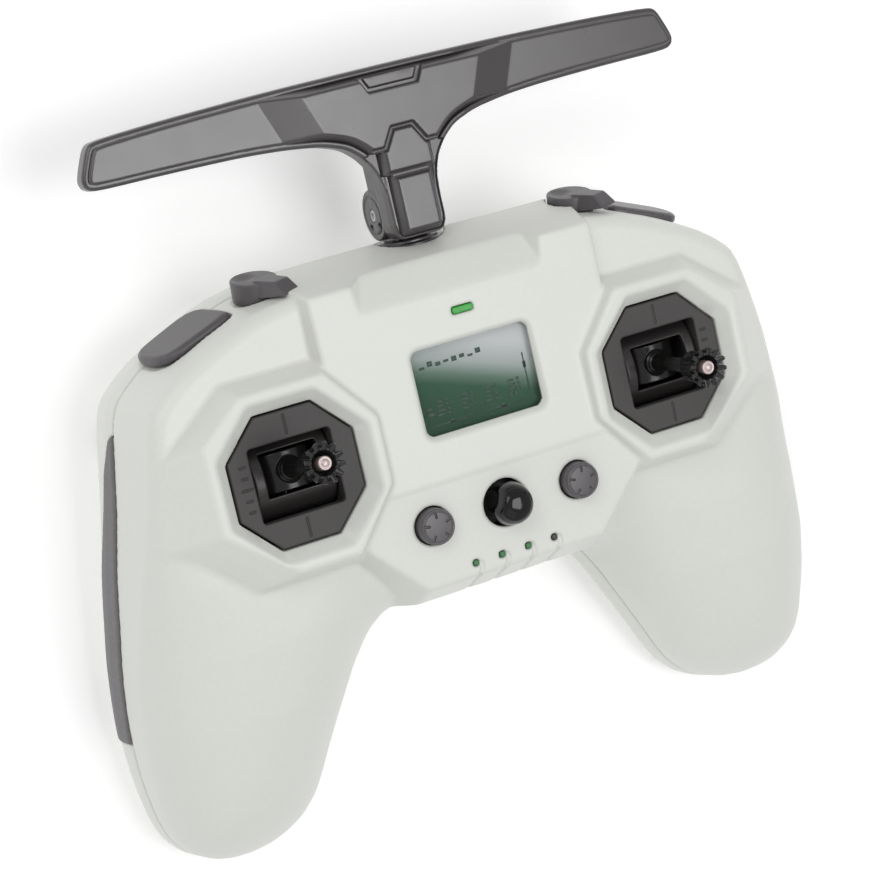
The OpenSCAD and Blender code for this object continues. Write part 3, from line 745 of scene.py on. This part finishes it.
def menu_button():
    """Round button with a collar, a stem and five short grooves."""
    g = Field((-5.5, -5.5, -7.5), (5.5, 5.5, 4.1), 0.14)
    x, y, z = g.all()
    r = np.hypot(x, y)
    f = smax(r - 4.3 + 0 * z, np.maximum(z - 3.75 + 0.012 * r ** 2, -3.5 - z), 0.8)
    f = np.minimum(f, smax(r - 5.2 + 0 * z, np.abs(z + 3.2) - 0.4, 0.2))
    f = np.minimum(f, np.maximum(r - 1.6, np.maximum(z + 3, -7.1 - z)))
    f = smax(f, 0.16 - np.hypot(r - 3.72, z - 3.55), 0.15)
    for i in range(5):
        u, v = turned(x, y, 72 * i + 20)
        f = smax(f, -np.maximum(slab(u, v, 2.9, 0, 1.5, 0.4, 0.2) + 0 * z, 3.3 - z), 0.12)
    g.f[...] = f
    return g


def knob():
    """Tall dome of the navigation knob, with a shoulder low on its side."""
    g = Field((-5.7, -5.7, -6.6), (5.7, 5.7, 8.4), 0.15)
    x, y, z = g.all()
    r = np.hypot(x, y)
    dome = ((r / 4.95) ** 2.7 + (np.abs(z - 2.4) / 5.5) ** 2.7) ** (1 / 2.7)
    f = smin((dome - 1) * 4.6, smax(r - 5.12 + 0 * z, np.abs(z - 0.1) - 3.1, 0.8), 0.3)
    f = smin(f, np.maximum(r - 1.5, np.maximum(z + 2, -6.2 - z)), 0.3)
    g.f[...] = smax(f, (-0.9 * x + 0.44 * y) - 4.35 + 0.1 * z + np.maximum(3.3 - z, 0) * 3, 0.5)
    return g


# ---------- shoulder paddles and top levers ----------

def frame_of(u, v, w, shift):
    """Placement of a piece from its three axes and its origin."""
    return np.stack([u, v, w], 1), np.array(shift, float)


def shoulder_place():
    """Placement of the left paddle."""
    c, s = cos_sin(PADDLE_TURN)
    k, t = cos_sin(PADDLE_LEAN)
    out = np.array([-s * k, c * k, t])
    across = np.array([s * t, -c * t, k])
    return frame_of([c, s, 0], out, across, (-PADDLE_AT[0], PADDLE_AT[1], PADDLE_AT[2]))


def paddle():
    """Shoulder paddle: a bevelled plate on a short plunger."""
    g = Field((-12.2, -3.6, -9.5), (12.2, 2.4, 9.5), 0.2)
    u, v, w = g.all()
    d = polygon(u + 0 * w, w + 0 * u, rounded(PADDLE, 2))
    f = smax(d, v - 1.4, 0.45)
    f = smax(f, (d + 0.9) * 0.6 + (v - 1.4) * 0.8, 0.3)
    f = smax(f, -v - 0.7, 0.3)
    g.f[...] = np.minimum(f, box(u, v, w, (0, -1.5, 0), (5, 3.6, 3), 0.3))
    return g


def lever_place(px):
    """Placement of a lever, square on the leaning top wall."""
    c, s = cos_sin(LEVER_LEAN)
    foot = (px, LEVER[1] - LEVER_SINK[0], LEVER[2] - LEVER_SINK[1])
    return frame_of([1, 0, 0], [0, c, s], [0, -s, c], foot)


def lever(turn=25):
    """Round lever with a dished top and a faceted finger tab."""
    g = Field((-6.4, -8.4, -6.4), (9.6, 5.2, 12.8), 0.2)
    x, h, w = g.all()
    c, s = cos_sin(turn)
    u, t = c * x - s * w, s * x + c * w
    r = np.hypot(x, w)
    top = h - 4 + 0.06 * t
    puck = smax(r - 5.55 + 0 * h, np.maximum(top, -1.05 - h), 0.45)
    puck = smax(puck, 6.2 - np.sqrt((u + 1.2) ** 2 + (t + 1.8) ** 2 + (h - 9.65) ** 2), 0.3)
    puck = smax(puck, 0.75 - np.sqrt((u + 2.6) ** 2 + (t + 0.6) ** 2 + (h - 3.85) ** 2), 0.2)
    side = (np.abs(u) - 3.4 + 0.08 * (t - 4)) * 0.95 + 0.22 * (h - 1.2)
    tab = smax(side, np.maximum(2.5 - t, 0.4 + 0.13 * np.maximum(t - 5, 0) - h), 0.3)
    tab = smax(tab, h - 4.3 - 0 * t, 0.3)
    tab = smax(tab, (h - 4.2) * 0.72 + (t - 9) * 0.69, 0.3)
    tab = smax(tab, (h - 1.5) * 0.3 + (t - 11.6) * 0.95, 0.3)
    f = smin(puck, tab, 0.25)
    g.f[...] = np.minimum(f, np.maximum(r - 2.4, np.abs(h + 3.7) - 4.3))
    return g


# ---------- antenna ----------

# outline of the antenna, right half, from the top round to the foot
ARM = [(0, 84.4), (30, 84.2), (55, 83.5), (72, 82.6), (73.8, 81.4), (76.6, 74.8), (76.2, 72.7), (74.2, 71.6),
       (56, 71.5), (39, 71.1), (29, 70.4), (20, 69.2), (14.2, 67.2), (11, 64.6), (8.6, 61.4), (7.4, 58.4),
       (6.7, 55), (6.7, 43.8), (0, 43.8)]


def arm_outline(x, y):
    """Distance to the T outline on a plane grid, right half mirrored."""
    whole = ARM + [(-a, b) for a, b in ARM[::-1] if a > 0]
    return polygon(x + 0 * y, y + 0 * x, rounded(whole, 2))


def arm_crest(x, y):
    """Depth of the cover: high in the middle, with a slope down to each arm."""
    start = np.interp(y, [70, 84], [18.4, 23.8])
    return -10.3 - 2.2 * np.clip((np.abs(x) - start) / 9.8, 0, 1)


def antenna_cover():
    """Front cover of the antenna, with bevelled edges, a dip in its top edge and a stepped stem."""
    g = Field((-76.5, 43.4, -13.9), (76.5, 84, -9.6), 0.26)
    x, y, z = g.all()
    d = arm_outline(x, y)
    crest = arm_crest(x, y)
    inset = np.where(y < 64.5, 0.9, 1.9)
    f = smax((d + inset) * 0.8 + (z + 12) * 0.45, z - crest, 0.4)
    f = smax(f, -13.3 - z, 0.2)
    # side slopes and the step of the stem
    narrow = (np.abs(x) - np.where(y > 58.8, 5.7, 4.3)) * 0.85 - (-10.5 - z) * 0.45
    f = smax(f, np.where(y < 64.5, narrow, -5), 0.4)
    outline = [(-12, 65.2), (-5.3, 65.2), (-2.6, 69.6), (2.6, 69.6), (5.3, 65.2), (12, 65.2)]
    line = polyline(x + 0 * y, y + 0 * x, outline)
    f = smax(f, 0.62 - np.hypot(line, (z + 10.4) * 0.75), 0.25)
    f = smax(f, 1.05 - np.hypot(y - 58.9 + 0 * x, (z + 10.2) * 0.9), 0.25)
    # dip in the top edge with a recessed plate
    corners = [(-9.4, 90), (-9.4, 84.5), (-6.4, 78.6), (6.4, 78.6), (9.4, 84.5), (9.4, 90)]
    dip = polygon(x + 0 * y, y + 0 * x, corners)
    f = smax(f, -np.maximum(dip, -11.9 - z), 0.3)
    g.f[...] = smin(f, smax(dip + 1.1, np.maximum(np.maximum(z + 11.3, -12.5 - z), d + 2.2), 0.3), 0.1)
    return g


def antenna_body():
    """Back half of the antenna, with its rim, stem and two hinge ears."""
    g = Field((-77.6, 43, -30.9), (77.6, 85.3, -11.8), 0.3)
    x, y, z = g.all()
    d = arm_outline(x, y)
    rim = np.interp(np.abs(x), [17, 30], [-12, -13.6])
    f = smax(d, np.maximum(z - rim, -18.7 - z), 1.1)
    f = smax(f, -np.maximum(d + np.where(y < 64.5, 0.4, 1.45), -13.25 - z), 0.3)
    low = np.maximum(y - 63.5, FOLD[1] - z)
    stem = smax(np.maximum(d, np.abs(x) - 6.7), smax(low, z + 13.2, 0.3), 0.6)
    stem = smax(stem, (np.abs(x) - 6.7) * 0.87 + (z + 14.6) * 0.49, 0.4)
    f = smin(f, stem, 0.8)
    ear = smax(np.hypot(y - FOLD[0], z - FOLD[1]) - 6.2 + 0 * x, np.abs(x) - 6.7, 0.5)
    f = smin(f, ear, 0.5)
    slot = np.maximum(np.maximum(np.abs(x) - 3.9, y - 56.2), z + 17.6)
    f = smax(f, -slot, 0.3)
    f = np.maximum(f, 1.55 - np.hypot(y - FOLD[0], z - FOLD[1]) - 0 * x)
    # keyed holes and a shallow ring on the faces of the ears
    face = 5.9 - np.abs(x)
    for py, pz, r in ((-2.4, 3.1, 0.75), (-2.9, -2.4, 0.75)):
        f = smax(f, -np.maximum(np.hypot(y - FOLD[0] - py, z - FOLD[1] - pz) - r, face), 0.15)
    ring = np.abs(np.hypot(y - FOLD[0], z - FOLD[1]) - 4.7) - 0.22
    g.f[...] = smax(f, -np.maximum(ring, 6.45 - np.abs(x)), 0.15)
    return g


def antenna_foot():
    """Turning collar, its spindle in the case and the tongue between the ears."""
    g = Field((-9.5, 30.8, -33.8), (9.5, 56, -14.6), 0.2)
    x, y, z = g.all()
    r = np.hypot(x, z - FOLD[1])
    f = smax(r - 8.9 + 0 * y, np.abs(y - 41.4) - 0.7, 0.4)
    f = smin(f, smax(r - 7.9 + 0 * y, np.abs(y - 42.2) - 0.75, 0.4), 0.15)
    f = np.minimum(f, np.maximum(r - 5, np.abs(y - 36.2) - 5))
    f = np.minimum(f, np.maximum(r - 6.6, np.abs(y - 31.95) - 0.75))
    round_end = np.hypot(y - FOLD[0], z - FOLD[1]) - 5.4
    post = np.maximum(np.abs(z - FOLD[1]) - 5, np.abs(y - 46) - 4)
    f = smin(f, smax(np.abs(x) - 3.6 + 0 * z, smin(round_end, post, 0.5), 0.4), 0.4)
    f = np.maximum(f, 1.6 - np.hypot(y - FOLD[0], z - FOLD[1]) - 0 * x)
    g.f[...] = np.maximum(f, 1.6 - r - 0 * y - np.maximum(y - 45, 0))
    return g


def fold_pin():
    """Hinge pin with a small hole in each end."""
    g = Field((-7.2, FOLD[0] - 2, FOLD[1] - 2), (7.2, FOLD[0] + 2, FOLD[1] + 2), 0.15)
    x, y, z = g.all()
    r = np.hypot(y - FOLD[0], z - FOLD[1])
    f = smax(r - 1.5 + 0 * x, np.abs(x) - 6.8, 0.35)
    g.f[...] = smax(f, -np.maximum(r - 0.7, 6.4 - np.abs(x)), 0.1)
    return g


def display_marks():
    """Plain dark bars and two sliders on the display, as thin raised blocks."""
    bars = [(-13.2, 3.4, 2.1, 0.9), (-13.2, 4.8, 1.4, 0.7)]
    for i, px in enumerate((-10.6, -4.2, 2.0, 8.0)):
        for j in range(4):
            bars.append((px + 0.1 * j, 3.0 + 1.05 * j, 1.5 + 0.35 * ((i + 2 * j) % 3), 0.5))
            bars.append((px + 2.6, 3.0 + 1.05 * j, 0.6, 0.62))
    bars += [(-12.4, 0.9, 9.6, 0.28), (1.6, 0.9, 9.6, 0.28), (-8, 0.5, 1.4, 1.1), (5.4, 0.5, 1.4, 1.1)]
    bars += [(13.3, 3, 0.3, 9), (13.05, 8.4, 0.8, 1.5)]
    bars += [(-12.8 + 2.1 * i, 14.6 + 0.3 * (i % 2), 1.3, 0.55 + 0.3 * ((i * 5) % 3)) for i in range(8)]
    points, faces = [], []
    for px, py, w, h in bars:
        n = len(points)
        for pz in (-2.5, -2.43):
            points += [(px, py, pz), (px + w, py, pz), (px + w, py + h, pz), (px, py + h, pz)]
        faces += [(n + 4, n + 5, n + 6, n + 7), (n + 3, n + 2, n + 1, n)]
        faces += [(n + k, n + (k + 1) % 4, n + 4 + (k + 1) % 4, n + 4 + k) for k in range(4)]
    me = new_mesh("display_marks", (np.array(points) + FACE) / 1000, np.array(faces))
    o = bpy.data.objects.new("display_marks", me)
    bpy.context.scene.collection.objects.link(o)
    return o


# ---------- materials ----------

def material(name, color, rough, spread=0.05, scale=350, bump=0.02, metal=0.0, coat=0.0, stretch=None,
             specular=0.5):
    """Procedural finish: colour, roughness and relief all follow a noise laid over the piece."""
    m = bpy.data.materials.new(name)
    m.use_nodes = True
    nodes, links = m.node_tree.nodes, m.node_tree.links
    b = nodes["Principled BSDF"]
    b.inputs["Metallic"].default_value = metal
    b.inputs["Coat Weight"].default_value = coat
    b.inputs["Specular IOR Level"].default_value = specular
    place = nodes.new("ShaderNodeTexCoord").outputs["Object"]
    if stretch:
        mapping = nodes.new("ShaderNodeMapping")
        mapping.inputs["Scale"].default_value = stretch
        links.new(place, mapping.inputs["Vector"])
        place = mapping.outputs["Vector"]
    noise = nodes.new("ShaderNodeTexNoise")
    noise.inputs["Scale"].default_value = scale
    noise.inputs["Detail"].default_value = 4
    links.new(place, noise.inputs["Vector"])
    ramp = nodes.new("ShaderNodeValToRGB")
    for i, k in enumerate((1 - spread, 1 + spread)):
        ramp.color_ramp.elements[i].position = 0.3 + 0.4 * i
        ramp.color_ramp.elements[i].color = [min(c * k, 1) for c in color] + [1]
    links.new(noise.outputs["Fac"], ramp.inputs["Fac"])
    links.new(ramp.outputs["Color"], b.inputs["Base Color"])
    spreader = nodes.new("ShaderNodeMapRange")
    spreader.inputs["To Min"].default_value = rough * 0.85
    spreader.inputs["To Max"].default_value = min(rough * 1.15, 1)
    links.new(noise.outputs["Fac"], spreader.inputs["Value"])
    links.new(spreader.outputs["Result"], b.inputs["Roughness"])
    if bump:
        relief = nodes.new("ShaderNodeBump")
        relief.inputs["Strength"].default_value = bump
        relief.inputs["Distance"].default_value = 0.0004
        links.new(noise.outputs["Fac"], relief.inputs["Height"])
        links.new(relief.outputs["Normal"], b.inputs["Normal"])
    return m


def shader(m):
    return m.node_tree.nodes["Principled BSDF"]


white = material("shell_white", (0.735, 0.748, 0.705), 0.4, 0.012, 900, 0.03)
grey = material("antenna_grey", (0.05, 0.0445, 0.048), 0.29, 0.06, 160, 0.02, specular=0.95)
lever_grey = material("lever_grey", (0.085, 0.078, 0.084), 0.36, 0.05, 600, 0.04, specular=0.6)
rubber = material("grip_rubber", (0.18, 0.172, 0.178), 0.6, 0.1, 1100, 0.25)
plate_black = material("stick_plate", (0.05, 0.047, 0.046), 0.55, 0.07, 900, 0.08)
drum_black = material("stick_drum", (0.034, 0.031, 0.03), 0.35, 0.25, 420, 0.05, 0.3, 0, (1, 14, 1))
shaft_dark = material("stick_shaft", (0.012, 0.0115, 0.011), 0.22, 0.35, 380, 0.04, 0.2, 0, (1, 14, 1))
gloss_black = material("gloss_black", (0.006, 0.006, 0.007), 0.1, 0.2, 260, 0.01, specular=0.4)
crown_black = material("crown_black", (0.012, 0.012, 0.013), 0.2, 0.2, 500, 0.02, 0, 0.4)
tip_silver = material("tip_silver", (0.56, 0.47, 0.46), 0.42, 0.1, 900, 0.05, 0.6)
light_green = material("power_green", (0.04, 0.36, 0.05), 0.35, 0.15, 700, 0)
battery_green = material("battery_green", (0.03, 0.16, 0.045), 0.35, 0.2, 900, 0)
battery_dark = material("battery_dark", (0.035, 0.03, 0.028), 0.35, 0.2, 900, 0)
mark_dark = material("display_mark", (0.035, 0.075, 0.055), 0.5, 0.15, 900, 0)
steel = material("steel", (0.5, 0.5, 0.51), 0.35, 0.1, 500, 0.05, 1.0)
switch_black = material("switch_black", (0.02, 0.02, 0.021), 0.5, 0.15, 500, 0.08)
board_green = material("board_green", (0.02, 0.13, 0.05), 0.35, 0.2, 250, 0.05, 0, 0.3)
can_metal = material("shield_metal", (0.6, 0.6, 0.61), 0.3, 0.08, 400, 0.04, 1.0)
cell_blue = material("cell_sleeve", (0.03, 0.1, 0.3), 0.3, 0.1, 300, 0.05)
copper = material("copper_foil", (0.6, 0.32, 0.17), 0.35, 0.12, 400, 0.05, 1.0)
shader(light_green).inputs["Emission Color"].default_value = (0.05, 0.9, 0.1, 1)
shader(light_green).inputs["Emission Strength"].default_value = 0.03


def glass():
    """Nearly invisible window; the display shows through it."""
    m = material("window_glass", (0.9, 0.94, 0.92), 0.05, 0.03, 300, 0, 0)
    shader(m).inputs["Alpha"].default_value = 0.015
    shader(m).inputs["IOR"].default_value = 1.35
    return m


def display():
    """Display behind the window: its own green below, brightening to grey towards the top left corner, where
    the grey is a painted reflection of the softbox glare on the window.
    """
    m = material("display_green_painted_glare", (0.04, 0.12, 0.07), 0.5, 0.05, 700, 0)
    nodes, links = m.node_tree.nodes, m.node_tree.links
    place = nodes.new("ShaderNodeTexCoord").outputs["Object"]
    mapping = nodes.new("ShaderNodeMapping")
    mapping.vector_type = "POINT"
    low = (FACE[1] + WINDOW_Y - 9.5) / 1000
    mapping.inputs["Location"].default_value = (-low * 40, 0.05, 0)
    mapping.inputs["Rotation"].default_value = (0, 0, math.radians(-72))
    mapping.inputs["Scale"].default_value = (52, 52, 52)
    links.new(place, mapping.inputs["Vector"])
    blend = nodes.new("ShaderNodeTexGradient")
    links.new(mapping.outputs["Vector"], blend.inputs["Vector"])
    ramp = nodes.new("ShaderNodeValToRGB")
    # the two darkest stops are the display's own green; the lighter stops towards the top left corner are a
    # painted reflection of the softbox glare
    green_then_painted_glare = ((0.0, (0.014, 0.06, 0.031)), (0.42, (0.022, 0.082, 0.044)), (0.55, (0.11, 0.18, 0.14)),
             (0.72, (0.36, 0.41, 0.4)), (1.0, (0.56, 0.58, 0.59)))
    while len(ramp.color_ramp.elements) < len(green_then_painted_glare):
        ramp.color_ramp.elements.new(0.5)
    for e, (at, c) in zip(ramp.color_ramp.elements, green_then_painted_glare):
        e.position = at
        e.color = (*c, 1)
    links.new(blend.outputs["Fac"], ramp.inputs["Fac"])
    links.new(ramp.outputs["Color"], shader(m).inputs["Base Color"])
    shader(m).inputs["Specular IOR Level"].default_value = 0.05
    return m


# ---------- pieces ----------

piece("case_front", front_shell(), 150000, white, "case", "shell", "front_shell")
piece("case_rear", rear_shell(), 80000, white, "case", "shell", "rear_shell")
soft = grip()
housing, rocker, drum, thumb, end = stick_plate(), yoke(), stick(), crown(), tip()
button, pad, flip = menu_button(), paddle(), lever()
# the left stick rests at the angle at which its CAD tip stands
tip_lo, tip_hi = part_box("stick_tip_left")
reach = np.array([(tip_lo[i] + tip_hi[i]) / 2 for i in range(3)]) * 1000 - FACE - (-STICK_X, 0, PIVOT)
left_lean = math.atan2(reach[1], reach[2])
for side, word, lean in ((-1, "left", left_lean), (1, "right", 0.0)):
    flipped = side > 0
    piece("side_grip_" + word, soft, 12000, rubber, "case", "grip", "grip_" + word, None, flipped)
    here = (np.eye(3), np.array([-STICK_X, 0.0, 0.0]))
    piece("stick_housing_" + word, housing, 40000, plate_black, "case", "plate", "gimbal_frame_" + word, here,
          flipped)
    c, s = math.cos(lean), math.sin(lean)
    turn = np.array([[1, 0, 0], [0, c, s], [0, -s, c]])
    pivot = np.array([side * STICK_X, 0.0, PIVOT])
    low, high = (turn, pivot), (turn, pivot + turn @ np.array([0, 0, SHAFT]))
    stick_body = "stick_" + word
    piece("rocker_" + word, rocker, 16000, drum_black, "yoke_" + word, "drum", "yoke_" + word, low)
    piece("drum_" + word, drum, 16000, shaft_dark, stick_body, "stick_metal", "stick_" + word, low)
    piece("crown_" + word, thumb, 24000, crown_black, stick_body, "stick_black", "stick_head_" + word, high)
    piece("centre_tip_" + word, end, 4000, tip_silver, stick_body, "stick_silver", "stick_tip_" + word, high)
    spot = (np.eye(3), np.array([-BUTTON_X, KNOB_Y, 0.0]))
    name = "menu_button_" + word
    piece("round_button_" + word, button, 12000, lever_grey, name, "button", name, spot, flipped)
    name = "paddle_" + word
    piece("shoulder_" + name, pad, 8000, lever_grey, name, "paddle", name, shoulder_place(), flipped)
    name = "lever_" + word
    piece("top_" + name, flip, 12000, lever_grey, name, "lever", name, lever_place(side * LEVER[0]))
piece("display_window", window(), 6000, glass(), "case", "window", "lcd_window")
finish_piece(display_marks(), mark_dark, "case", "display")
power = light(0, POWER_Y, 5.4, 1.5, 0.45)
piece("power_bar", power, 3000, light_green, "case", "light", "power_light")
for i in range(4):
    guide = light(LIGHT_PITCH * (i - 1.5), LIGHTS_Y, 1.5, 1.4, -0.1)
    look = battery_dark if i == 3 else battery_green
    piece("battery_light_%d" % (i + 1), guide, 2500, look, "case", "light", "battery_lights")
spot = (np.eye(3), np.array([0, KNOB_Y, 0.0]))
piece("navigation_knob", knob(), 16000, gloss_black, "knob", "knob", "knob_cap", spot)
piece("antenna_cover", antenna_cover(), 50000, grey, "antenna", "antenna", "antenna_front")
piece("antenna_body", antenna_body(), 60000, grey, "antenna", "antenna", "antenna_back")
piece("antenna_foot", antenna_foot(), 20000, grey, "antenna_base", "antenna", "antenna_collar")
piece("fold_pin", fold_pin(), 3000, steel, "antenna", "steel", "hinge_pin")

FINISHES = {"gimbal_sensors": board_green, "lcd_module": display(), "main_board": board_green,
            "radio_module": can_metal, "battery_pack": cell_blue, "vibration_motor": can_metal,
            "usb_port": steel, "case_screws": steel, "antenna_element": copper}
for name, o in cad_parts.items():
    o.data.materials.clear()
    o.data.materials.append(FINISHES.get(name, switch_black))

# ---------- stage ----------

camera = bpy.data.objects.new("camera", bpy.data.cameras.new("camera"))
bpy.context.scene.collection.objects.link(camera)
camera.data.lens = 99.41
camera.data.sensor_width = 36
camera.data.clip_start = 0.01
axes = Matrix(((0.88739, 0.27238, -0.37195), (-0.21932, 0.95908, 0.17908), (0.40551, -0.07734, 0.91081)))
view_from = Vector((-0.21954, 0.09878, 0.50427)) + Vector(FACE / 1000)
camera.matrix_world = Matrix.Translation(view_from) @ axes.to_4x4()
bpy.context.scene.camera = camera

corners = np.array([(-3, -3, -0.0002), (3, -3, -0.0002), (3, 3, -0.0002), (-3, 3, -0.0002)])
floor = bpy.data.objects.new("floor", new_mesh("floor", corners, np.array([[0, 1, 2, 3]])))
bpy.context.scene.collection.objects.link(floor)
paper = material("floor_paper", (0.97, 0.97, 0.97), 0.9, 0.01, 20, 0)
shader(paper).inputs["Emission Color"].default_value = (1, 1, 1, 1)
shader(paper).inputs["Emission Strength"].default_value = 0.21
floor.data.materials.append(paper)

world = bpy.data.worlds.new("studio")
world.use_nodes = True
world.node_tree.nodes["Background"].inputs["Color"].default_value = (1, 1, 1, 1)
world.node_tree.nodes["Background"].inputs["Strength"].default_value = 0.48
bpy.context.scene.world = world
LIGHTS = (("key", (-0.8, 0.85, 1.1), 0.8, 4.5), ("softbox", (0.26, -0.05, 1.2), 0.6, 4.8),
          ("fill", (-0.5, -0.9, 1), 1.2, 1.2))
for name, at, size, power in LIGHTS:
    lamp = bpy.data.lights.new(name, "AREA")
    lamp.size = size
    lamp.energy = power
    o = bpy.data.objects.new(name, lamp)
    bpy.context.scene.collection.objects.link(o)
    o.location = at
    o.rotation_euler = (-Vector(at)).to_track_quat("-Z", "Y").to_euler()
bpy.context.scene.view_settings.view_transform = "Standard"
